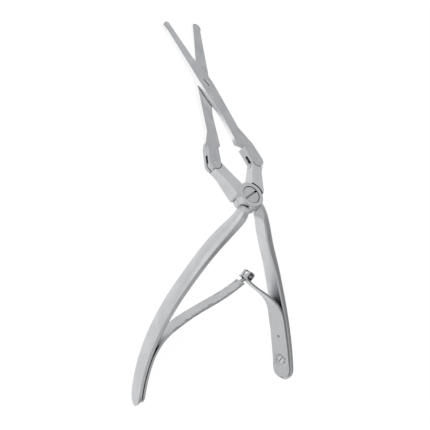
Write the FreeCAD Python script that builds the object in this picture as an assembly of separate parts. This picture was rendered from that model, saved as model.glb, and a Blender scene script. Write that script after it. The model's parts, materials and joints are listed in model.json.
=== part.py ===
import FreeCAD, Part
import math
import os

# Double action septum scissors: two crossed levers on one screw, each carrying a blade on a pin,
# the blades crossed on a screw of their own, and two leaf springs that push the handles open.
# The instrument is drawn in its pivot frame: the main screw is the Z axis with its head up,
# +Y runs to the blade tips, +X to the right hand handle. It is then tipped forward onto its
# blade tips and handle ends, which is how it stands on a tray. Lengths in mm, angles in degrees.

V = FreeCAD.Vector

# Linkage, handles fully open
arm_reach = 25.0
arm_angle_open = 34.6
pivot_to_blade_screw = 69.8
blade_reach = 42.0
blade_angle_open = 15.2

# Clearances
lap_gap = 0.06
shoulder_gap = 0.35
pin_play = 0.02
turn_play = 0.04
open_pivot_play = 0.36
seat_gap = 0.2
closed_gap = 0.1

# Lap joint and its screw
boss_radius = 7.5
boss_height = 8.2
boss_edge_round = 0.5
screw_head_radius = 5.0
screw_head_bevel = 0.35
screw_slot_turn = 25.0
screw_head_height = 1.9
screw_head_sink = 0.25
screw_shank_radius = 2.4
screw_slot_width = 1.1
screw_slot_depth = 0.9

# Arms, with a tongue that enters the blade's fork
arm_root_width = 7.6
arm_end_width = 6.5
tongue_thickness = 1.6
tongue_radius = 3.0

# Blade forks and pins
fork_width = 6.8
fork_height = 5.8
fork_side_gap = 0.12
fork_length = 10.2
slot_run_past_tongue = 2.2
arm_pin_radius = 1.1

# Blades and their screw
blade_thickness = 2.85
blade_tip_thickness = 1.7
blade_root_width = 8.2
blade_tip_width = 4.3
blade_edge_thickness = 1.3
shank_width = 6.0
heel_step = 2.8
heel_above_fork = 1.0
heel_rise = 2.2
bevel_start = 8.0
bevel_run = 9.0
blade_screw_head_radius = 2.3
blade_screw_head_height = 0.9
blade_screw_radius = 1.4
blade_slot_width = 0.6
blade_slot_depth = 0.45
blade_slot_turn = -66.0

# Handles: a bowed strap on edge that drops away behind the boss
handle_drop_points = (V(5.2, -6.6, 0), V(33.1, -26.7, -38.5), V(49.7, -46.9, -65.2), V(51.4, -75.1, -84.2))
neck_thickness = 6.0
neck_width = 9.4
handle_thickness = 4.6
grip_thickness = 3.3
grip_width = 12.0
twist_at_boss = 5.0
twist_at_end = 15.0
handle_corner = 0.7
end_round_start = 0.93
handle_stations = (0.13, 0.28, 0.44, 0.60, 0.76, 0.90, 0.95, 0.98, 0.995, 1.0)

# Leaf springs
leaf_thickness = 1.2
leaf_tip_thickness = 0.9
leaf_base_width = 11.0
leaf_waist_width = 7.4
leaf_end_width = 6.4
leaf_base_start = 0.985
leaf_foot_station = 0.93
leaf_handle_sections = 6
leaf_free_sections = 6
right_leaf_leaves = 0.60
left_leaf_leaves = 0.76
spring_meeting_point = V(11.0, -29.5, -38.0)
tongue_neck_width = 2.2
tongue_neck_length = 5.0
hook_length = 1.5
hook_width = 5.2
hook_reach = 1.5
fork_slot_width = 3.0
fork_slot_depth = 3.6
fork_run_past_hook = 1.6

# What holds each leaf to its handle
spring_screw_station = 0.875
spring_dowel_station = 0.73
spring_screw_radius = 1.3
spring_screw_head_radius = 2.3
spring_screw_head_height = 0.8
spring_screw_depth = 2.4
spring_slot_width = 0.6
spring_dowel_radius = 0.8
spring_dowel_depth = 2.0

# Worked out from the linkage
arm_angle = math.radians(arm_angle_open)
blade_angle = math.radians(blade_angle_open)
pin_side = arm_reach * math.sin(arm_angle)
pin_rise = arm_reach * math.cos(arm_angle)
tail_length = math.hypot(pin_side, pivot_to_blade_screw - pin_rise)
tail_angle = math.asin(pin_side / tail_length)
tail_kink = tail_angle - blade_angle
arm_angle_closed = math.asin((fork_width / 2 + closed_gap) / arm_reach)
arm_swing = arm_angle - arm_angle_closed
blade_angle_closed = math.asin((fork_width / 2 + closed_gap) / tail_length) - tail_kink
half_boss = boss_height / 2
shoulder_radius = boss_radius + shoulder_gap
seat_radius = fork_width / 2 + shoulder_gap


def plan_prism(points, low, high):
    """A solid with a plan of straight sides, from one height to another."""
    corners = [V(x, y, low) for x, y in points]
    face = Part.Face(Part.makePolygon(corners + corners[:1]))
    return face.extrude(V(0, 0, high - low))


def side_prism(points, low, high):
    """A solid with a side view of straight sides in Y and Z, from one X to another."""
    corners = [V(low, y, z) for y, z in points]
    face = Part.Face(Part.makePolygon(corners + corners[:1]))
    return face.extrude(V(high - low, 0, 0))


def drum(radius, low, high, x=0.0, y=0.0):
    """An upright cylinder."""
    return Part.makeCylinder(radius, high - low, V(x, y, low))


def block(x0, x1, y0, y1, z0, z1):
    """A box between two corners."""
    return Part.makeBox(x1 - x0, y1 - y0, z1 - z0, V(x0, y0, z0))


def turned(shape, degrees, axis=V(0, 0, 1), centre=V(0, 0, 0)):
    """A copy of a shape, turned about an axis."""
    copy = shape.copy()
    copy.rotate(centre, axis, degrees)
    return copy


def moved(shape, offset):
    """A copy of a shape, shifted."""
    copy = shape.copy()
    copy.translate(offset)
    return copy


def other_side(shape):
    """The same forging turned over: half a turn about the long axis."""
    return turned(shape, 180, V(0, 1, 0))


def mirrored(shape):
    """The left hand copy of a right hand shape."""
    return shape.mirror(V(0, 0, 0), V(1, 0, 0))


def bezier(points, s):
    """The point at share s of a cubic curve."""
    a, b, c, d = points
    return a * (1 - s) ** 3 + b * 3 * s * (1 - s) ** 2 + c * 3 * s * s * (1 - s) + d * s ** 3


def bezier_direction(points, s):
    """The unit tangent at share s of a cubic curve."""
    a, b, c, d = points
    t = (b - a) * (1 - s) ** 2 + (c - b) * 2 * s * (1 - s) + (d - c) * s * s
    return t.normalize()


def square_to(direction, wanted):
    """The unit vector nearest to the wanted one that is square to a direction."""
    return (wanted - direction * wanted.dot(direction)).normalize()


def handle_axes(s):
    """Centre, tangent, outward normal and upward width direction of the right handle."""
    centre = bezier(handle_drop_points, s)
    tangent = bezier_direction(handle_drop_points, s)
    width = V(1, 0, 0).cross(tangent).normalize()
    if width.z < 0:
        width = width * -1
    twist = math.radians(twist_at_boss + (twist_at_end - twist_at_boss) * s)
    side = tangent.cross(width)
    if side.x < 0:
        side = side * -1
    width = (width * math.cos(twist) + side * math.sin(twist)).normalize()
    outward = tangent.cross(width)
    if outward.x < 0:
        outward = outward * -1
    return centre, tangent, outward, width


def handle_width(s):
    """Width of the strap, broadest in the grip."""
    return neck_width + (grip_width - neck_width) * math.sin(min(s / 0.85, 1.0) * math.pi / 2) ** 2


def handle_depth(s):
    """Thickness of the strap, thinning from the neck to the grip."""
    if s < 0.4:
        return neck_thickness + (handle_thickness - neck_thickness) * s / 0.4
    return handle_thickness + (grip_thickness - handle_thickness) * (s - 0.4) / 0.6


def strap_section(centre, outward, width_direction, width, depth):
    """A flat inner side, rounded corners and a crowned outer side."""
    corner = min(handle_corner, depth * 0.3, width * 0.2)

    def at(a, b):
        return centre + outward * a + width_direction * b

    inner, half, side = -depth / 2, width / 2, depth * 0.12
    return Part.Wire([
        Part.LineSegment(at(inner, corner - half), at(inner, half - corner)).toShape(),
        Part.LineSegment(at(inner, half - corner), at(inner + corner, half)).toShape(),
        Part.LineSegment(at(inner + corner, half), at(side, half)).toShape(),
        Part.Arc(at(side, half), at(depth / 2, 0), at(side, -half)).toShape(),
        Part.LineSegment(at(side, -half), at(inner + corner, -half)).toShape(),
        Part.LineSegment(at(inner + corner, -half), at(inner, corner - half)).toShape(),
    ])


def right_handle(lap_side):
    """The right handle, rooted in the upper half of the boss for lap side 1 and the lower for -1."""
    out = math.atan2(handle_drop_points[0].x, -handle_drop_points[0].y)
    root_outward = V(math.cos(out), math.sin(out), 0)
    lap_height = half_boss - lap_gap / 2
    root = V(math.sin(out), -math.cos(out), 0) * (boss_radius * 0.45)
    root.z = lap_side * (lap_gap / 2 + lap_height / 2)
    sections = [strap_section(root, root_outward, V(0, 0, 1), lap_height - 0.2, neck_thickness)]
    shoulder = bezier(handle_drop_points, 0.01)
    lean = V(0, -0.35, 1).normalize()
    sections.append(strap_section(shoulder, root_outward, lean, boss_height - 0.4, neck_thickness))
    for s in handle_stations:
        centre, tangent, outward, width_direction = handle_axes(s)
        past = max(0.0, (s - end_round_start) / (1 - end_round_start))
        shrink = max(0.22, math.sqrt(max(0.0, 1 - past * past)))
        sections.append(strap_section(centre, outward, width_direction,
                                      handle_width(s) * shrink, handle_depth(s) * (0.35 + 0.65 * shrink)))
    return Part.makeLoft(sections, True, False)


def boss_half():
    """The upper half of the lap joint, a disc with a softened rim."""
    low, high = lap_gap / 2, half_boss
    profile = [V(0, 0, low), V(boss_radius, 0, low), V(boss_radius, 0, high - boss_edge_round),
               V(boss_radius - boss_edge_round, 0, high), V(0, 0, high)]
    return Part.Face(Part.makePolygon(profile + profile[:1])).revolve(V(0, 0, 0), V(0, 0, 1), 360)


def upper_arm():
    """The upper lever's arm, drawn along +Y with its inner side at +X, then leaned to the left."""
    closing_slope = math.tan(arm_angle_closed)
    inner_root = closing_slope * boss_radius - closed_gap
    plan = [
        (closing_slope * 2 - closed_gap, 2.0),
        (arm_end_width / 2, arm_reach),
        (-arm_end_width / 2, arm_reach),
        (-arm_end_width / 2 - 0.3, arm_reach * 0.72),
        (inner_root - arm_root_width, boss_radius * 0.75),
        (inner_root - arm_root_width + 1.0, 0.0),
    ]
    side = [(0, -half_boss), (shoulder_radius, -half_boss), (arm_reach - 5, -fork_height / 2),
            (arm_reach, -fork_height / 2), (arm_reach, fork_height / 2), (arm_reach - 5, fork_height / 2),
            (shoulder_radius, half_boss), (0, half_boss)]
    body = plan_prism(plan, -half_boss, half_boss).common(side_prism(side, -20, 20))
    body = body.cut(drum(seat_radius, -half_boss, half_boss, 0, arm_reach))
    fold = math.degrees(arm_angle + tail_angle)
    swept = block(-seat_radius, seat_radius, 0, fork_length, -half_boss, half_boss)
    body = body.cut(moved(turned(swept, -fold), V(0, arm_reach, 0)))
    half_tongue = tongue_thickness / 2
    tongue = plan_prism([(-tongue_radius, arm_reach), (-tongue_radius, arm_reach - seat_radius - 1.5),
                         (tongue_radius, arm_reach - seat_radius - 1.5), (tongue_radius, arm_reach)],
                        -half_tongue, half_tongue)
    arm = body.fuse([tongue, drum(tongue_radius, -half_tongue, half_tongue, 0, arm_reach)])
    far = 2 * arm_reach
    past_middle = block(-closed_gap / 2, far, 0, far, -far, far)
    return turned(arm.cut(turned(past_middle, -math.degrees(arm_angle_closed))), arm_angle_open)


def lever(lap_side):
    """One lever: boss half, arm on one side and handle on the other."""
    head = boss_half().fuse(upper_arm())
    if lap_side < 0:
        head = other_side(head)
    far = 3 * boss_height
    past_middle = block(-far, closed_gap / 2, -far, far, -far, far)
    handle = right_handle(lap_side).cut(turned(past_middle, math.degrees(arm_swing)))
    if lap_side < 0:
        handle = mirrored(handle)
    body = head.fuse(handle)
    reach = (-far, lap_gap / 2) if lap_side > 0 else (-lap_gap / 2, far)
    body = body.cut(drum(shoulder_radius, *reach))
    return body.removeSplitter()


def pivot_screw():
    """Slotted main screw, its head sunk in the upper boss and its end flush below."""
    top = half_boss - screw_head_sink
    rim = screw_head_radius - screw_head_bevel
    head = drum(screw_head_radius, top - screw_head_height, top - screw_head_bevel)
    bevel = Part.makeCone(screw_head_radius, rim, screw_head_bevel, V(0, 0, top - screw_head_bevel))
    shank = drum(screw_shank_radius, -half_boss, top)
    slot = block(-screw_head_radius - 1, screw_head_radius + 1, -screw_slot_width / 2, screw_slot_width / 2,
                 top - screw_slot_depth, top + 1)
    return head.fuse([bevel, shank]).cut(turned(slot, screw_slot_turn)).removeSplitter()


def levers():
    """Both levers, bored for the main screw and their arm pins."""
    top = half_boss - screw_head_sink
    pocket = drum(screw_head_radius + turn_play, top - screw_head_height - turn_play, half_boss + 1)
    upper = lever(1).cut([pocket, drum(screw_shank_radius + turn_play, -1, half_boss)])
    lower = lever(-1).cut(drum(screw_shank_radius + pin_play, -half_boss - 1, 1))
    upper = upper.cut(drum(arm_pin_radius + open_pivot_play, -5, 5, -pin_side, pin_rise))
    lower = lower.cut(drum(arm_pin_radius + turn_play, -5, 5, pin_side, pin_rise))
    return upper, lower


def upper_blade():
    """The upper blade about its screw: tip along +Y with its cutting edge at +X, tail along -Y."""
    tail_x, tail_y = tail_length * math.sin(tail_kink), -tail_length * math.cos(tail_kink)
    half_fork, half_root, half_tip = fork_width / 2, blade_root_width / 2, blade_tip_width / 2
    fork_top = tail_y + fork_length
    heel_y = fork_top + heel_above_fork + heel_rise
    heel_x = tail_x - half_fork - heel_step
    outline = [
        V(tail_x + half_fork, fork_top, 0),
        V(heel_x + shank_width + 1.2, heel_y + 8, 0),
        V(half_root - 0.6, -9, 0),
        V(half_root, -1, 0),
        V(half_root - 0.3, 5, 0),
        V(half_tip, blade_reach - 1.2, 0),
    ]
    spine = [
        V(-half_tip, blade_reach - 5.0, 0),
        V(-half_root + 0.1, 4, 0),
        V(-half_root + 0.1, -7, 0),
        V(-half_root + 1.0, -18, 0),
        V(heel_x, heel_y, 0),
        V(tail_x - half_fork, fork_top + heel_above_fork, 0),
        V(tail_x - half_fork, fork_top, 0),
    ]
    edges = [Part.LineSegment(a, b).toShape() for a, b in zip(outline, outline[1:])]
    edges.append(Part.Arc(outline[-1], V(half_tip * 0.05, blade_reach - 0.5, 0), spine[0]).toShape())
    edges += [Part.LineSegment(a, b).toShape() for a, b in zip(spine, spine[1:])]
    edges.append(Part.LineSegment(spine[-1], outline[0]).toShape())
    low = lap_gap / 2
    plate = Part.Face(Part.Wire(edges)).extrude(V(0, 0, blade_thickness - low))
    plate.translate(V(0, 0, low))
    far = blade_reach + 2
    wedge = side_prism([(bevel_start, blade_thickness), (far, blade_tip_thickness), (far, 9), (bevel_start, 9)],
                       -20, 20)
    plate = plate.cut(wedge)
    plate = plate.cut(bevel_waste(half_root + 1, far))
    fork = plan_prism([(tail_x - half_fork, fork_top), (tail_x - half_fork, tail_y),
                       (tail_x + half_fork, tail_y), (tail_x + half_fork, fork_top)],
                      -fork_height / 2, fork_height / 2)
    fork = fork.fuse(drum(half_fork, -fork_height / 2, fork_height / 2, tail_x, tail_y))
    deep = 2 * tail_length
    past_middle = block(-deep, closed_gap / 2, -deep, fork_top + heel_above_fork / 2, -deep, deep)
    past_middle = turned(past_middle, -math.degrees(blade_angle_closed))
    half_slot = tongue_thickness / 2 + fork_side_gap
    slot_top = tail_y + tongue_radius + slot_run_past_tongue
    slot = block(tail_x - 9, tail_x + 9, tail_y - 9, slot_top, -half_slot, half_slot)
    pin_hole = drum(arm_pin_radius + pin_play, -9, 9, tail_x, tail_y)
    return plate.fuse(fork).cut([past_middle, slot, pin_hole]).removeSplitter()


def bevel_waste(side, far):
    """What is ground off the outer face so that it slopes from the spine to the cutting edge."""
    def section(y, drop):
        return Part.makePolygon([V(-side, y, blade_thickness), V(side, y, blade_thickness - drop),
                                 V(side, y, 9), V(-side, y, 9), V(-side, y, blade_thickness)])
    depth = (blade_thickness - blade_edge_thickness) * 2 * side / (side + blade_tip_width / 2)
    return Part.makeLoft([section(bevel_start, 0.001), section(bevel_start + bevel_run, depth),
                          section(far, depth)], True, True)


def blades():
    """Both blades in place, bored for their screw."""
    upper = upper_blade()
    lower = other_side(upper)
    head_floor = blade_thickness - blade_screw_head_height
    head_hole = drum(blade_screw_head_radius + turn_play, head_floor - turn_play, blade_thickness + 1)
    upper = upper.cut([head_hole, drum(blade_screw_radius + turn_play, -1, blade_thickness)])
    lower = lower.cut(drum(blade_screw_radius + pin_play, -blade_thickness - 1, 1))
    place = V(0, pivot_to_blade_screw, 0)
    return moved(turned(upper, blade_angle_open), place), moved(turned(lower, -blade_angle_open), place)


def blade_screw():
    """Slotted screw that holds the crossed blades together."""
    head = drum(blade_screw_head_radius, blade_thickness - blade_screw_head_height, blade_thickness)
    shank = drum(blade_screw_radius, -blade_thickness, blade_thickness)
    slot = block(-4, 4, -blade_slot_width / 2, blade_slot_width / 2, blade_thickness - blade_slot_depth, 9)
    screw = head.fuse(shank).cut(turned(slot, blade_slot_turn)).removeSplitter()
    return moved(screw, V(0, pivot_to_blade_screw, 0))


def arm_pin(side):
    """Pin through a blade's fork and the arm's tongue, flush with the fork's cheeks."""
    return drum(arm_pin_radius, -fork_height / 2, fork_height / 2, side * pin_side, pin_rise)


def leaf_stations(leaves, meeting_point):
    """Centre, normal and width direction down a right hand leaf, from its foot to its tip."""
    stations = []
    lift = leaf_thickness / 2 + seat_gap

    def on_handle(s):
        centre, tangent, outward, width_direction = handle_axes(s)
        return centre - outward * (handle_depth(s) / 2 + lift), tangent, outward, width_direction

    for i in range(leaf_handle_sections):
        s = leaf_base_start + (leaves - leaf_base_start) * i / (leaf_handle_sections - 1)
        centre, tangent, outward, width_direction = on_handle(s)
        stations.append((centre, outward, width_direction, s))
    start, tangent, outward, start_width = on_handle(leaves)
    chord = start - meeting_point
    curve = (start, start - tangent * chord.Length * 0.35, meeting_point + chord * 0.35, meeting_point)
    level = V(0, start_width.y, start_width.z).normalize()
    for i in range(1, leaf_free_sections + 1):
        share = i / leaf_free_sections
        along = bezier_direction(curve, share)
        width_direction = square_to(along, start_width * (1 - share) + level * share)
        normal = along.cross(width_direction)
        if normal.x < 0:
            normal = normal * -1
        stations.append((bezier(curve, share), normal, width_direction, -share))
    return stations


def leaf_section(centre, normal, width_direction, width, thickness):
    """A flat strip's section."""
    across, through = width_direction * (width / 2), normal * (thickness / 2)
    corners = [centre - across - through, centre + across - through, centre + across + through,
               centre - across + through]
    return Part.makePolygon(corners + corners[:1])


def leaf(leaves, meeting_point, tip_width):
    """A right hand leaf: broad and rounded at its foot, tapering to its tip."""
    sections = []
    for centre, normal, width_direction, s in leaf_stations(leaves, meeting_point):
        free_share = max(0.0, -s)
        width = leaf_base_width + (tip_width - leaf_base_width) * free_share
        thickness = leaf_thickness + (leaf_tip_thickness - leaf_thickness) * free_share
        sections.append(leaf_section(centre, normal, width_direction, width, thickness))
    return Part.makeLoft(sections, True, False).cut(foot_waste())


def foot_waste():
    """What is cut off a leaf's foot to round it."""
    centre, tangent, outward, width_direction = handle_axes(leaf_foot_station)
    reach, depth = leaf_base_width, 6 * leaf_thickness
    centre = centre - outward * (handle_depth(leaf_foot_station) / 2)
    beyond = oriented_block(centre + tangent * (reach / 2), tangent, width_direction, outward,
                            (reach, 2 * reach, depth))
    kept = Part.makeCylinder(leaf_base_width / 2, depth, centre - outward * (depth / 2), outward)
    return beyond.cut(kept)


def oriented_block(centre, along, across, through, sizes):
    """A box about a centre, with its sides along three directions."""
    length, width, height = sizes
    corner = centre - along * (length / 2) - across * (width / 2) - through * (height / 2)
    face = Part.Face(Part.makePolygon([corner, corner + along * length, corner + along * length + across * width,
                                       corner + across * width, corner]))
    return face.extrude(through * height)


def right_leaf():
    """The right leaf, whose tip is a fork that straddles the other leaf's tongue."""
    tip_stations = leaf_stations(right_leaf_leaves, spring_meeting_point)
    centre, normal, across, last = tip_stations[-1]
    along = (tip_stations[-1][0] - tip_stations[-2][0]).normalize()
    strip = leaf(right_leaf_leaves, spring_meeting_point, leaf_end_width)
    prongs = oriented_block(centre + along * (fork_run_past_hook / 2 - 0.1), along, across, normal,
                            (fork_run_past_hook + 0.2, leaf_end_width, leaf_tip_thickness))
    slot_centre = centre + along * (fork_run_past_hook - fork_slot_depth / 2 + 0.5)
    slot = oriented_block(slot_centre, along, across, normal, (fork_slot_depth + 1, fork_slot_width, 6))
    return strip.fuse(prongs).cut(slot).removeSplitter()


def left_leaf():
    """The left leaf, whose tip is a tongue with a crossbar that hooks behind the fork."""
    meeting = V(-spring_meeting_point.x, spring_meeting_point.y, spring_meeting_point.z)
    stations = leaf_stations(left_leaf_leaves, meeting)
    along = (stations[-1][0] - stations[-2][0]).normalize()
    centre, normal, across, last = stations[-1]
    strip = leaf(left_leaf_leaves, meeting - along * tongue_neck_length * 0.6, leaf_waist_width)
    neck = oriented_block(meeting - along * (tongue_neck_length / 2 - hook_reach / 2), along, across, normal,
                          (tongue_neck_length + hook_reach, tongue_neck_width, leaf_tip_thickness))
    bar = oriented_block(meeting + along * (hook_reach + hook_length / 2), along, across, normal,
                         (hook_length, hook_width, leaf_tip_thickness))
    return mirrored(strip.fuse([neck, bar]).removeSplitter())


def leaf_fixings():
    """Screw and dowel of the right leaf, and the holes that they need in leaf and handle."""
    screw, dowel, holes = None, None, []
    for station, radius, depth, is_screw in (
            (spring_screw_station, spring_screw_radius, spring_screw_depth, True),
            (spring_dowel_station, spring_dowel_radius, spring_dowel_depth, False)):
        centre, tangent, outward, width_direction = handle_axes(station)
        face = centre - outward * (handle_depth(station) / 2 + seat_gap + leaf_thickness)
        length = leaf_thickness + seat_gap + depth
        shank = Part.makeCylinder(radius, length, face, outward)
        holes.append(Part.makeCylinder(radius + pin_play, length + 1 + seat_gap, face - outward, outward))
        if is_screw:
            head = Part.makeCylinder(spring_screw_head_radius, spring_screw_head_height, face, outward)
            slot = oriented_block(face, tangent, width_direction, outward,
                                  (3 * spring_screw_head_radius, spring_slot_width, spring_screw_head_height))
            screw = head.fuse(shank).cut(turned(slot, 40, outward, face)).removeSplitter()
            holes.append(Part.makeCylinder(spring_screw_head_radius + pin_play, spring_screw_head_height + 1,
                                           face - outward, outward))
        else:
            dowel = shank
    return screw, dowel, holes


def pivot_frame_model():
    """Every piece in the pivot frame, handles open."""
    upper_lever, lower_lever = levers()
    front_blade, rear_blade = blades()
    screw, dowel, holes = leaf_fixings()
    left_holes = [mirrored(hole) for hole in holes]
    return {
        "front_lever": upper_lever.cut(holes),
        "rear_lever": lower_lever.cut(left_holes),
        "pivot_screw": pivot_screw(),
        "front_blade": front_blade,
        "rear_blade": rear_blade,
        "blade_screw": blade_screw(),
        "left_arm_pin": arm_pin(-1),
        "right_arm_pin": arm_pin(1),
        "right_leaf_spring": right_leaf().cut(holes),
        "left_leaf_spring": left_leaf().cut(left_holes),
        "right_spring_screw": screw,
        "left_spring_screw": mirrored(screw),
        "right_spring_dowel": dowel,
        "left_spring_dowel": mirrored(dowel),
    }


def surface_points(shapes):
    """Points on the skins of some shapes, close enough to find what they rest on."""
    return [p for shape in shapes for p in shape.tessellate(0.02)[0]]


def standing_tilt(blade_points, lever_points):
    """The forward tip, in degrees, at which blade tips and handle ends touch one flat surface."""
    def lowest(points, angle):
        return min(p.z * math.cos(angle) - p.y * math.sin(angle) for p in points)

    low, high = math.radians(1), math.radians(60)
    for _ in range(40):
        middle = (low + high) / 2
        if lowest(blade_points, middle) > lowest(lever_points, middle):
            low = middle
        else:
            high = middle
    return math.degrees(low)


def main():
    model = pivot_frame_model()
    tilt = standing_tilt(surface_points([model["front_blade"], model["rear_blade"]]),
                         surface_points([model["front_lever"], model["rear_lever"]]))
    stood = {name: turned(shape, -tilt, V(1, 0, 0)) for name, shape in model.items()}
    box = Part.makeCompound(list(stood.values())).optimalBoundingBox(False)
    shift = V(-(box.XMin + box.XMax) / 2, -(box.YMin + box.YMax) / 2, -box.ZMin)
    os.makedirs("parts", exist_ok=True)
    for name, shape in stood.items():
        shape = moved(shape, shift)
        if shape.ShapeType == "Compound" and len(shape.Solids) == 1:
            shape = shape.Solids[0]
        shape.exportStep(os.path.join("parts", name + ".step"))
        print(name, "solids", len(shape.Solids), "valid", shape.isValid(), "volume", round(shape.Volume, 2))
    print("tilt", round(tilt, 4), "shift", shift)
    print("size", box.XLength, box.YLength, box.ZLength)


main()
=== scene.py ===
# %% [markdown]
# Septum scissors, dressed for a photograph
#
# The instrument is forged and satin finished stainless steel. Its shape is already made: two levers, two
# blades, their screws and pins, and two leaf springs. This lesson gives each piece the finish of the real
# one, cuts the gripping grooves into the handles, slices copies of the springs finely across the
# instrument, and sets up a camera, sky and lamps over a pale table.

# %% The frame: every piece of the instrument, at its real size, in metres
import json
import math

import bmesh
import bpy
import numpy as np
from mathutils import Matrix, Vector


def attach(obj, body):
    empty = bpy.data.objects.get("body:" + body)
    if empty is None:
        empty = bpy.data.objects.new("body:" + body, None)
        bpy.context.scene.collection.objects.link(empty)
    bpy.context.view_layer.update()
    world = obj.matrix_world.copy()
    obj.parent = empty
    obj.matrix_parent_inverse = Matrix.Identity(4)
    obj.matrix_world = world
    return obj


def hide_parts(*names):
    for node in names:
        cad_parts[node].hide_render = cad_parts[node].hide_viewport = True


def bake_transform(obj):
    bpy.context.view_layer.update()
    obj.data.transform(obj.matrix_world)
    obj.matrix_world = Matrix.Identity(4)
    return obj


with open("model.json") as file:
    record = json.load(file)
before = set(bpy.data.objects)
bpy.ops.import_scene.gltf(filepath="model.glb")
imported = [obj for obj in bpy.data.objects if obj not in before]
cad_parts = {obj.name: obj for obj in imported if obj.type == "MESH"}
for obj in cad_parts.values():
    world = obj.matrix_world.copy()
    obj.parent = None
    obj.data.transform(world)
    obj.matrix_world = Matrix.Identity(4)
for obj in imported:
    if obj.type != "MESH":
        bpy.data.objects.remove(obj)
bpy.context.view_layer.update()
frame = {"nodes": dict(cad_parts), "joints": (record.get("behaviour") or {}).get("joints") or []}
nodes = frame["nodes"]
mm = 0.001

# %% [markdown]
# The instrument's own directions
#
# The scissors stand as an arch on their blade tips and handle ends, so the flat lap joint is tipped
# forward. The main hinge in the frame says where the lap joint is and which way its screw points. Three
# directions follow from it: along the blades, across them, and out of the screw's head.

# %% Directions of the lap joint, from the main hinge
hinge = next(j for j in frame["joints"] if j["name"] == "handle_hinge")
pivot = Vector(hinge["pos_m"])
screw_up = -Vector(hinge["axis"]).normalized()
across = Vector((1, 0, 0))
forward = screw_up.cross(across)
print("lap joint tipped forward by", round(math.degrees(math.acos(screw_up.z)), 2), "degrees")


def from_lap(x, y, z):
    """A point given in mm from the main screw, along across, forward and screw_up."""
    return pivot + (across * x + forward * y + screw_up * z) * mm


# %% [markdown]
# Colours and nodes
#
# Colours are written as the hex values that a screen shows, and one function turns them into the linear
# light that a shader works in. One more function adds a shader node with its settings and links, so a
# material reads as a list of what it is made of.

# %% One function for colours, one for nodes
def linear(hex_colour):
    """The linear RGBA of an sRGB hex colour: a straight part near black, then a power of 2.4."""
    parts = [int(hex_colour[i:i + 2], 16) / 255 for i in (1, 3, 5)]
    return [c / 12.92 if c <= 0.04045 else ((c + 0.055) / 1.055) ** 2.4 for c in parts] + [1.0]


def add(tree, kind, values=None, **settings):
    """A new node: settings are its own properties, values go to its inputs, as numbers or as links."""
    node = tree.nodes.new(kind)
    for name, value in settings.items():
        setattr(node, name, value)
    for name, value in (values or {}).items():
        if isinstance(value, bpy.types.NodeSocket):
            tree.links.new(value, node.inputs[name])
        else:
            node.inputs[name].default_value = value
    return node


# %% [markdown]
# Satin stainless steel
#
# Surgical steel is blasted with fine glass beads and brushed, so that it does not dazzle under a theatre
# lamp. To the eye it is a soft grey metal with blurred highlights, a very fine grain drawn out along each
# piece, and faint cloudy patches where the brush bit more or less. Edges are slightly rounded and catch
# more light. The Bevel node rounds them in the shading, by a real radius.
#
# The real grain is about 0.02 mm wide, too fine to show at this distance, so it is drawn at about 0.25 mm.

# %% The satin finish, as a function of its grain direction
grain_width = 0.25 * mm
grain_length = 6.0 * mm
cloud_size = 9.0 * mm
grain_depth = 0.02 * mm
edge_radius = 0.22 * mm
cloud_share = 0.35
tone_spread = 0.22
roughness_play = 0.07
# Painted shade: seams, slots and corners are darkened towards a dark grey, by how little open sky they see
# within this reach.
painted_shade_reach = 1.8 * mm
painted_shade_closed, painted_shade_open = 0.3, 0.8
painted_shade_colour = "#3a3b3d"
# Painted reflection: past each blade's neck, faces turned to one side are painted in this near-white colour,
# as if they mirrored the white table.
painted_reflection_colour = "#fbfbfc"
painted_reflection_fades_at, painted_reflection_full_at = 0.75, 0.95
neck_past_pin = 13.0
neck_fade = 2.0
arm_pin = next(j for j in frame["joints"] if j["name"] == "right_arm_pivot")
neck_reach = forward.dot(Vector(arm_pin["pos_m"])) + neck_past_pin * mm


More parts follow.
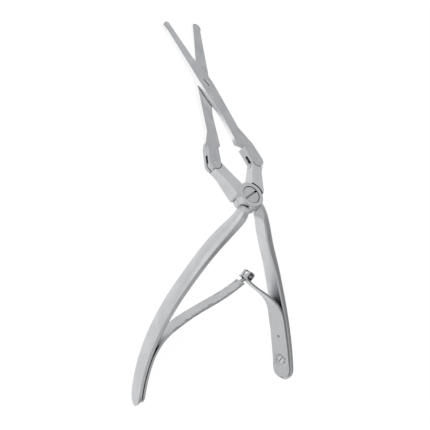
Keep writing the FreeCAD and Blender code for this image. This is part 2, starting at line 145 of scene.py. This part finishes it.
def satin_steel(name, light, dark, roughness, grain_along, bump=0.25, edge=edge_radius, painted_reflection_side=None):
    """Metal whose colour and roughness follow a stretched noise, with a soft cloudy noise over it.

    grain_along is the direction, in the frame, along which the noise is drawn out. Beyond a blade's neck,
    faces that look along the given side get a painted reflection: their colour is painted near white.
    Seams and slots get painted shade: their colour darkens by how little sky they see.
    """
    material = bpy.data.materials.new(name)
    material.use_nodes = True
    tree = material.node_tree
    tree.nodes.clear()
    place = add(tree, "ShaderNodeTexCoord").outputs["Object"]
    turn = Vector(grain_along).rotation_difference(Vector((0, 1, 0))).to_euler()
    turned = add(tree, "ShaderNodeMapping", {"Vector": place, "Rotation": turn}).outputs["Vector"]
    stretch = (1 / grain_width, 1 / grain_length, 1 / grain_width)
    drawn = add(tree, "ShaderNodeMapping", {"Vector": turned, "Scale": stretch}).outputs["Vector"]
    lines = add(tree, "ShaderNodeTexNoise",
                {"Vector": drawn, "Scale": 1.0, "Detail": 3.0, "Roughness": 0.6}).outputs["Fac"]
    clouds = add(tree, "ShaderNodeTexNoise",
                 {"Vector": place, "Scale": 1 / cloud_size, "Detail": 2.0}).outputs["Fac"]
    mixed = add(tree, "ShaderNodeMix", {"Factor": cloud_share, "A": lines, "B": clouds}).outputs["Result"]
    spread = add(tree, "ShaderNodeMapRange", {"Value": mixed, "From Min": 0.5 - tone_spread,
                                              "From Max": 0.5 + tone_spread}).outputs["Result"]
    colour = add(tree, "ShaderNodeMix", {"Factor": spread, "A": linear(dark), "B": linear(light)},
                 data_type="RGBA")
    base = colour.outputs["Result"]
    # Painted reflection: faces that look along the given side, past the neck, are painted near white.
    if painted_reflection_side is not None:
        facing = add(tree, "ShaderNodeVectorMath", {0: add(tree, "ShaderNodeTexCoord").outputs["Normal"],
                                                    1: painted_reflection_side}, operation="DOT_PRODUCT").outputs["Value"]
        turned_to_it = add(tree, "ShaderNodeMapRange",
                           {"Value": facing, "From Min": painted_reflection_fades_at, "From Max": painted_reflection_full_at})
        reach = add(tree, "ShaderNodeVectorMath", {0: place, 1: forward}, operation="DOT_PRODUCT")
        past_neck = add(tree, "ShaderNodeMapRange",
                        {"Value": reach.outputs["Value"], "From Min": neck_reach,
                         "From Max": neck_reach + neck_fade * mm})
        share = add(tree, "ShaderNodeMath", {0: turned_to_it.outputs["Result"],
                                             1: past_neck.outputs["Result"]}, operation="MULTIPLY")
        painted_reflection_mix = add(tree, "ShaderNodeMix", {"Factor": share.outputs[0], "A": base,
                                               "B": linear(painted_reflection_colour)}, data_type="RGBA")
        base = painted_reflection_mix.outputs["Result"]
    # Painted shade: the less open sky a point sees, the nearer its colour is to the dark grey.
    open_sky = add(tree, "ShaderNodeAmbientOcclusion", {"Distance": painted_shade_reach}, samples=8).outputs["AO"]
    lit = add(tree, "ShaderNodeMapRange",
              {"Value": open_sky, "From Min": painted_shade_closed, "From Max": painted_shade_open}).outputs["Result"]
    base = add(tree, "ShaderNodeMix", {"Factor": lit, "A": linear(painted_shade_colour), "B": base},
               data_type="RGBA").outputs["Result"]
    rough = add(tree, "ShaderNodeMapRange",
                {"Value": mixed, "To Min": roughness + roughness_play,
                 "To Max": roughness - roughness_play}).outputs["Result"]
    rounded = add(tree, "ShaderNodeBevel", {"Radius": edge}, samples=6).outputs["Normal"]
    normal = add(tree, "ShaderNodeBump", {"Strength": bump, "Distance": grain_depth, "Height": lines,
                                          "Normal": rounded}).outputs["Normal"]
    shader = add(tree, "ShaderNodeBsdfPrincipled",
                 {"Metallic": 1.0, "Base Color": base, "Roughness": rough, "Normal": normal})
    output = add(tree, "ShaderNodeOutputMaterial", {"Surface": shader.outputs["BSDF"]})
    output.target = "ALL"
    return material


# %% [markdown]
# Five finishes of the same steel
#
# The forged levers are bead blasted. The blades are ground lengthwise on a belt, so they are a little
# darker and their grain is stronger. Past the neck, one side of each blade's back has a painted
# reflection: its colour is painted near white, as if it mirrored the white table. The springs are rolled
# strip, smoother than the rest. Screws and pins were turned in a lathe and polished. The small dowels
# beside the spring screws are coloured dark grey.

# %% The finishes, and which piece has which
handle_direction = from_lap(48, -60, -72) - from_lap(10, -10, -8)
left_direction = Vector((-handle_direction.x, handle_direction.y, handle_direction.z))
forged_light, forged_dark, forged_roughness = "#dcdddf", "#bfc1c4", 0.38
forged = satin_steel("satin_forged_stainless_steel", forged_light, forged_dark, forged_roughness,
                     handle_direction, bump=0.1)
forged_left = satin_steel("satin_forged_stainless_steel_left", forged_light, forged_dark, forged_roughness,
                          left_direction, bump=0.1)
tip_angle = math.radians(15.2)
ground = {}
for blade, side in (("front_blade", -1), ("rear_blade", 1)):
    along_blade = forward * math.cos(tip_angle) + across * side * math.sin(tip_angle)
    ground[blade] = satin_steel("belt_ground_stainless_steel_" + blade, "#cfd1d3", "#a9acb0", 0.34,
                                along_blade, bump=0.4, painted_reflection_side=screw_up.cross(along_blade))
strip = satin_steel("rolled_spring_strip_steel", "#c8c9cb", "#b3b5b8", 0.34, handle_direction, bump=0.15)
turned_steel = satin_steel("turned_stainless_steel", "#d4d5d8", "#b4b6ba", 0.27, screw_up, bump=0.15,
                           edge=0.12 * mm)

# The small dowels are coloured dark grey.
dark_pin = satin_steel("dark_dowel_steel", "#8c8e91", "#6a6c6f", 0.4, screw_up, bump=0.1, edge=0.05 * mm)

finishes = {
    "front_lever": forged, "rear_lever": forged_left,
    "front_blade": ground["front_blade"], "rear_blade": ground["rear_blade"],
    "left_leaf_spring": strip, "right_leaf_spring": strip,
    "left_spring_dowel": dark_pin, "right_spring_dowel": dark_pin,
}
for name, node in nodes.items():
    node.data.materials.clear()
    node.data.materials.append(finishes.get(name, turned_steel))

# %% [markdown]
# Finely cut leaf springs
#
# Each leaf is screwed to its own handle and hooks into the other in the middle. When the handles close,
# both leaves bow. The frame holds each as a solid with a few long triangles, which can only bend at their
# corners. So a copy of each leaf is sliced by planes across the instrument, a millimetre and a half
# apart. Nothing here makes its points follow either handle: the copy stays where it is.

# %% Finely cut copies of the leaves
slice_width = 1.5
rigid_half_width = 34.0
leaves_meet = np.array([11.0, -29.5, -38.0])


def finely_cut(node, name):
    """A copy of a node, its doubled points merged, cut by planes across the instrument."""
    mesh = bmesh.new()
    mesh.from_mesh(node.data)
    bmesh.ops.remove_doubles(mesh, verts=mesh.verts, dist=1e-6)
    for x in np.arange(-rigid_half_width, rigid_half_width + slice_width, slice_width):
        geometry = mesh.verts[:] + mesh.edges[:] + mesh.faces[:]
        bmesh.ops.bisect_plane(mesh, geom=geometry, plane_co=(x * mm, 0, 0), plane_no=(1, 0, 0))
    bmesh.ops.triangulate(mesh, faces=[f for f in mesh.faces if len(f.verts) > 3])
    data = bpy.data.meshes.new(name)
    mesh.to_mesh(data)
    mesh.free()
    data.shade_smooth()
    data.set_sharp_from_angle(angle=math.radians(35))
    piece = bpy.data.objects.new(name, data)
    bpy.context.scene.collection.objects.link(piece)
    return piece


for side in ("left", "right"):
    node_name = side + "_leaf_spring"
    leaf = finely_cut(nodes[node_name], side + "_spring_leaf")
    leaf.data.materials.append(strip)
    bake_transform(leaf)
    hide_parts(node_name)
    print(leaf.name, "has", len(leaf.data.polygons), "faces")

# %% [markdown]
# Grooves for the fingers
#
# The outer face of each grip is cut across with fine grooves, so that a wet glove does not slip. On the
# real handle they are filed or rolled into the steel. They could be a bump in the material, but then the
# handle's outline would stay smooth. So they are a surface: the handle's own crowned face, worked out from
# its centre line, raised and lowered along its length by a row of rounded ridges. Its borders dip into
# the handle, which makes the ridges look cut from one piece with it.

# %% The right handle's centre line and the directions along it
handle_curve = np.array([(5.2, -6.6, 0), (33.1, -26.7, -38.5), (49.7, -46.9, -65.2), (51.4, -75.1, -84.2)])
twist_at_boss, twist_at_end = math.radians(5.0), math.radians(15.0)
handle_thickness, grip_thickness, thinning_start = 4.6, 3.3, 0.4
crown_share = 0.12


def unit(rows):
    """Each row divided by its length."""
    return rows / np.linalg.norm(rows, axis=1, keepdims=True)


def handle_lines(s):
    """Centre, outward and widthwise direction at shares s of a cubic Bezier curve, in lap joint axes.

    The width direction is square to the curve and to X, then turned about the curve by the twist.
    """
    s = s[:, None]
    a, b, c, d = handle_curve
    centre = a * (1 - s) ** 3 + 3 * b * s * (1 - s) ** 2 + 3 * c * s ** 2 * (1 - s) + d * s ** 3
    along = unit((b - a) * (1 - s) ** 2 + 2 * (c - b) * s * (1 - s) + (d - c) * s ** 2)
    width = unit(np.cross([1.0, 0.0, 0.0], along))
    width = width * np.sign(width[:, 2:3])
    side = np.cross(along, width)
    side = side * np.sign(side[:, :1])
    twist = twist_at_boss + (twist_at_end - twist_at_boss) * s
    width = width * np.cos(twist) + side * np.sin(twist)
    outward = np.cross(along, width)
    return centre, outward * np.sign(outward[:, :1]), width


def lap_to_frame(points, side=1):
    """Points in mm in lap joint axes, mirrored for side -1, as metres in the frame."""
    axes = np.array([across, forward, screw_up])
    return np.array(pivot) + (points * [side, 1, 1]) @ axes * mm


# %% A closed sheet from two grids of points
def closed_sheet(name, upper, lower, flip):
    """A mesh from two grids of the same size: two skins, and four strips that join their borders."""
    rows, columns = upper.shape[:2]
    index = np.arange(rows * columns).reshape(rows, columns)
    corner = index[:-1, :-1], index[1:, :-1], index[1:, 1:], index[:-1, 1:]
    skin = np.stack([c.ravel() for c in corner], axis=1)
    below = skin[:, ::-1] + rows * columns
    rim = np.concatenate([index[0, :], index[1:, -1], index[-1, -2::-1], index[-2:0:-1, 0]])
    onward = np.roll(rim, -1)
    wall = np.stack([rim, onward, onward + rows * columns, rim + rows * columns], axis=1)
    faces = np.concatenate([skin, below, wall])
    faces = faces[:, ::-1] if flip else faces
    data = bpy.data.meshes.new(name)
    points = np.concatenate([upper.reshape(-1, 3), lower.reshape(-1, 3)])
    data.from_pydata(points.tolist(), [], faces.tolist())
    data.validate()
    fixed = bmesh.new()
    fixed.from_mesh(data)
    bmesh.ops.recalc_face_normals(fixed, faces=fixed.faces)
    fixed.to_mesh(data)
    fixed.free()
    piece = bpy.data.objects.new(name, data)
    bpy.context.scene.collection.objects.link(piece)
    return piece


# %% Ridges across the outer face of each grip
ridge_pitch = 1.25
ridge_height = 0.16
ridge_start, ridge_end = 0.58, 0.93
ridge_half_width = 3.4
grip_half_width = 6.0
steps_per_ridge = 8
border_dip = 0.12
root_depth = 0.6

fine = np.linspace(ridge_start, ridge_end, 400)
fine_centre = handle_lines(fine)[0]
run = np.concatenate([[0], np.cumsum(np.linalg.norm(np.diff(fine_centre, axis=0), axis=1))])
ridge_count = int(run[-1] / ridge_pitch)
distance = np.linspace(0, ridge_count * ridge_pitch, ridge_count * steps_per_ridge + 1)
shares = np.interp(distance, run, fine)
breadth = np.linspace(-1, 1, 17)
centre, outward, width = handle_lines(shares)
thinned = (shares - thinning_start) / (1 - thinning_start)
thickness = handle_thickness + (grip_thickness - handle_thickness) * thinned
offset = breadth[None, :] * ridge_half_width
crown = 1 - (offset / grip_half_width) ** 2
face_height = thickness[:, None] * (crown_share + (0.5 - crown_share) * crown)
wave = np.abs(np.sin(np.pi * distance / ridge_pitch))[:, None]
ends = np.clip(np.minimum(distance, distance[-1] - distance) / ridge_pitch, 0, 1)[:, None]
fade = ends * (1 - breadth[None, :] ** 6)
raised = (ridge_height * wave + border_dip) * fade - border_dip


def grip_surface(height):
    """The handle's outer face, lifted by a height at each point of the grid."""
    lift = (face_height + height)[:, :, None] * outward[:, None, :]
    return centre[:, None, :] + lift + offset[:, :, None] * width[:, None, :]


for name, side, body in (("right_grip_ridges", 1, "front_lever"), ("left_grip_ridges", -1, "rear_lever")):
    upper = lap_to_frame(grip_surface(raised).reshape(-1, 3), side).reshape(*raised.shape, 3)
    lower = lap_to_frame(grip_surface(raised * 0 - root_depth).reshape(-1, 3), side).reshape(*raised.shape, 3)
    ridges = closed_sheet(name, upper, lower, flip=side < 0)
    ridges.data.materials.append(forged if side > 0 else forged_left)
    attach(ridges, body)
    print(name, ridge_count, "ridges")

# %% [markdown]
# The eye where the two leaves meet
#
# The tip of the right leaf is curled over into a small square eye, and the tongue of the left leaf is
# caught in it. It is a strip bent round a rounded square, so its outline is a superellipse, left open
# below, where the prongs of the right leaf close it. The side that the tongue goes in by is slotted, so
# the strip is made as a back and two prongs.

# %% A strip curled over the left leaf's tongue
eye_along = np.array([-0.79, 0.39, 0.48])
eye_across = np.array([0.056, -0.733, 0.678])
eye_half_length = 2.3
eye_half_height = 2.5
eye_lift = 2.2
eye_setback = 0.4
eye_half_width = 2.5
eye_wall = 0.6
squareness = 4
loop_start, slot_end, loop_end = math.radians(-58), math.radians(62), math.radians(238)
eye_slot_half_width = 0.95

eye_along, eye_across = unit(np.array([eye_along, eye_across]))
eye_through = np.cross(eye_along, eye_across)


def eye_skin(inset, turns, breadths):
    """Points on a superellipse swept across the leaf: |u/a| to a power plus |n/b| to that power is 1."""
    u = (eye_half_length - inset) * np.sign(np.cos(turns)) * np.abs(np.cos(turns)) ** (2 / squareness)
    n = (eye_half_height - inset) * np.sign(np.sin(turns)) * np.abs(np.sin(turns)) ** (2 / squareness)
    path = (u - eye_setback)[:, None, None] * eye_along + (n + eye_lift)[:, None, None] * eye_through
    points = leaves_meet + path + breadths[None, :, None] * eye_across
    return lap_to_frame(points.reshape(-1, 3)).reshape(len(turns), -1, 3)


eye_strips = {
    "spring_eye_back": (slot_end, loop_end, -eye_half_width, eye_half_width),
    "spring_eye_upper_prong": (loop_start, slot_end, eye_slot_half_width, eye_half_width),
    "spring_eye_lower_prong": (loop_start, slot_end, -eye_half_width, -eye_slot_half_width),
}
for name, (turn_from, turn_to, near_edge, far_edge) in eye_strips.items():
    turns = np.linspace(turn_from, turn_to, 33)
    breadths = np.linspace(near_edge, far_edge, 5)
    outer, inner = eye_skin(0, turns, breadths), eye_skin(eye_wall, turns, breadths)
    strip_piece = closed_sheet(name, outer, inner, flip=False)
    strip_piece.data.shade_smooth()
    strip_piece.data.set_sharp_from_angle(angle=math.radians(40))
    strip_piece.data.materials.append(strip)
    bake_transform(strip_piece)
    print(name, "has", len(strip_piece.data.polygons), "faces")

# %% [markdown]
# The camera
#
# The photograph looks down on the instrument from its left, from nearly a metre away, with the blades
# upwards in the picture. The camera is placed from the main screw: how far round it stands, how high, how
# far off, and how much it is rolled.

# %% Camera, placed from the main screw
camera_round = 60.998
camera_height = 44.734
camera_roll = 47.621
camera_distance = 0.7574
focal_length = 120.7
picture_shift = (-0.0754, -0.0391)

round_angle, height_angle = math.radians(camera_round), math.radians(camera_height)
level = math.cos(height_angle)
towards = (across * (-math.sin(round_angle) * level) + forward * (-math.cos(round_angle) * level)
           + screw_up * math.sin(height_angle))
level_right = screw_up.cross(towards).normalized()
level_up = towards.cross(level_right)
roll = math.radians(camera_roll)
right = level_right * math.cos(roll) + level_up * math.sin(roll)
up = towards.cross(right)
camera_data = bpy.data.cameras.new("camera")
camera = bpy.data.objects.new("camera", camera_data)
bpy.context.scene.collection.objects.link(camera)
turn = np.eye(4)
turn[:3, 0], turn[:3, 1], turn[:3, 2] = right, up, towards
turn[:3, 3] = pivot + towards * camera_distance
camera.matrix_world = Matrix(turn.tolist())
camera_data.lens = focal_length
camera_data.sensor_width = 36.0
camera_data.shift_x, camera_data.shift_y = picture_shift
camera_data.clip_start, camera_data.clip_end = 0.01, 20.0
bpy.context.scene.camera = camera

# %% [markdown]
# Table, sky and lamps
#
# The photograph has a plain white ground and soft light from all round. Bare steel has no colour of its
# own to light up: each face shows the part of the surroundings that it mirrors. So the sky is pale,
# brighter below than above, with two soft dark spots. One is behind and to the right, where the tops of
# the handles mirror it. The other is overhead, on the camera's side. Reflections pass through the table,
# so that low faces mirror the sky too, and the camera sees plain white.

# %% White table
table_size = 6.0
table_glow = 1.13
glow_share = 0.8
table_data = bpy.data.meshes.new("table")
half = table_size / 2
corners = [(-half, -half, 0), (half, -half, 0), (half, half, 0), (-half, half, 0)]
table_data.from_pydata(corners, [], [(0, 1, 2, 3)])
table = bpy.data.objects.new("table", table_data)
bpy.context.scene.collection.objects.link(table)
white = bpy.data.materials.new("white_table_board")
white.use_nodes = True
tree = white.node_tree
tree.nodes.clear()
paint = add(tree, "ShaderNodeBsdfDiffuse", {"Color": linear("#f4f4f4")})
glow = add(tree, "ShaderNodeEmission", {"Color": linear("#ffffff"), "Strength": table_glow})
clear = add(tree, "ShaderNodeBsdfTransparent")
ray = add(tree, "ShaderNodeLightPath")
seen = add(tree, "ShaderNodeMixShader", {0: glow_share, 1: paint.outputs[0], 2: glow.outputs[0]})
board = add(tree, "ShaderNodeMixShader",
            {0: ray.outputs["Is Camera Ray"], 1: paint.outputs[0], 2: seen.outputs[0]})
shader = add(tree, "ShaderNodeMixShader",
             {0: ray.outputs["Is Glossy Ray"], 1: board.outputs[0], 2: clear.outputs[0]})
add(tree, "ShaderNodeOutputMaterial", {"Surface": shader.outputs[0]})
table_data.materials.append(white)

# %% Pale sky with two dark spots
sky_below, sky_above = 1.02, 0.74
right_spot = Vector((0.55, -0.60, 0.58)).normalized()
right_spot_depth = 0.5
lens_spot = Vector((-0.45, -0.15, 0.88)).normalized()
lens_spot_depth = 0.38

world = bpy.data.worlds.new("studio")
bpy.context.scene.world = world
world.use_nodes = True
tree = world.node_tree
tree.nodes.clear()
direction = add(tree, "ShaderNodeTexCoord").outputs["Generated"]
height = add(tree, "ShaderNodeSeparateXYZ", {"Vector": direction}).outputs["Z"]
pale = add(tree, "ShaderNodeMapRange", {"Value": height, "From Min": -0.7, "From Max": 0.5,
                                        "To Min": sky_below, "To Max": sky_above}).outputs["Result"]


def dark_spot(towards_spot, starts_at, full_at, depth):
    """How much darker the sky is in each direction, by how closely it points towards the spot."""
    near = add(tree, "ShaderNodeVectorMath", {0: direction, 1: towards_spot}, operation="DOT_PRODUCT")
    return add(tree, "ShaderNodeMapRange",
               {"Value": near.outputs["Value"], "From Min": starts_at, "From Max": full_at, "To Max": depth},
               interpolation_type="SMOOTHSTEP").outputs["Result"]


card = dark_spot(right_spot, 0.35, 0.9, right_spot_depth)
hood = dark_spot(lens_spot, 0.6, 0.92, lens_spot_depth)
darker = add(tree, "ShaderNodeMath", {0: card, 1: hood}, operation="MAXIMUM").outputs[0]
strength = add(tree, "ShaderNodeMath", {0: pale, 1: darker}, operation="SUBTRACT").outputs[0]
soft = add(tree, "ShaderNodeBackground", {"Color": linear("#ffffff"), "Strength": strength})
plain = add(tree, "ShaderNodeBackground", {"Color": linear("#ffffff"), "Strength": 1.0})
ray = add(tree, "ShaderNodeLightPath")
sky = add(tree, "ShaderNodeMixShader",
          {0: ray.outputs["Is Camera Ray"], 1: soft.outputs[0], 2: plain.outputs[0]})
add(tree, "ShaderNodeOutputWorld", {"Surface": sky.outputs[0]})


# %% Soft lamps
def soft_lamp(name, place, power, size):
    """A square area lamp that faces the instrument's main screw."""
    data = bpy.data.lights.new(name, "AREA")
    data.energy = power
    data.size = size
    lamp = bpy.data.objects.new(name, data)
    bpy.context.scene.collection.objects.link(lamp)
    lamp.location = place
    lamp.rotation_mode = "QUATERNION"
    lamp.rotation_quaternion = (Vector(place) - pivot).to_track_quat("Z", "Y")
    return lamp


soft_lamp("window_lamp", (-0.9, 0.3, 0.9), 3.0, 1.2)
soft_lamp("fill_lamp", (0.3, -0.8, 1.2), 2.0, 1.2)

# %% Plain colours, and the end of the script
bpy.context.scene.view_settings.view_transform = "Standard"
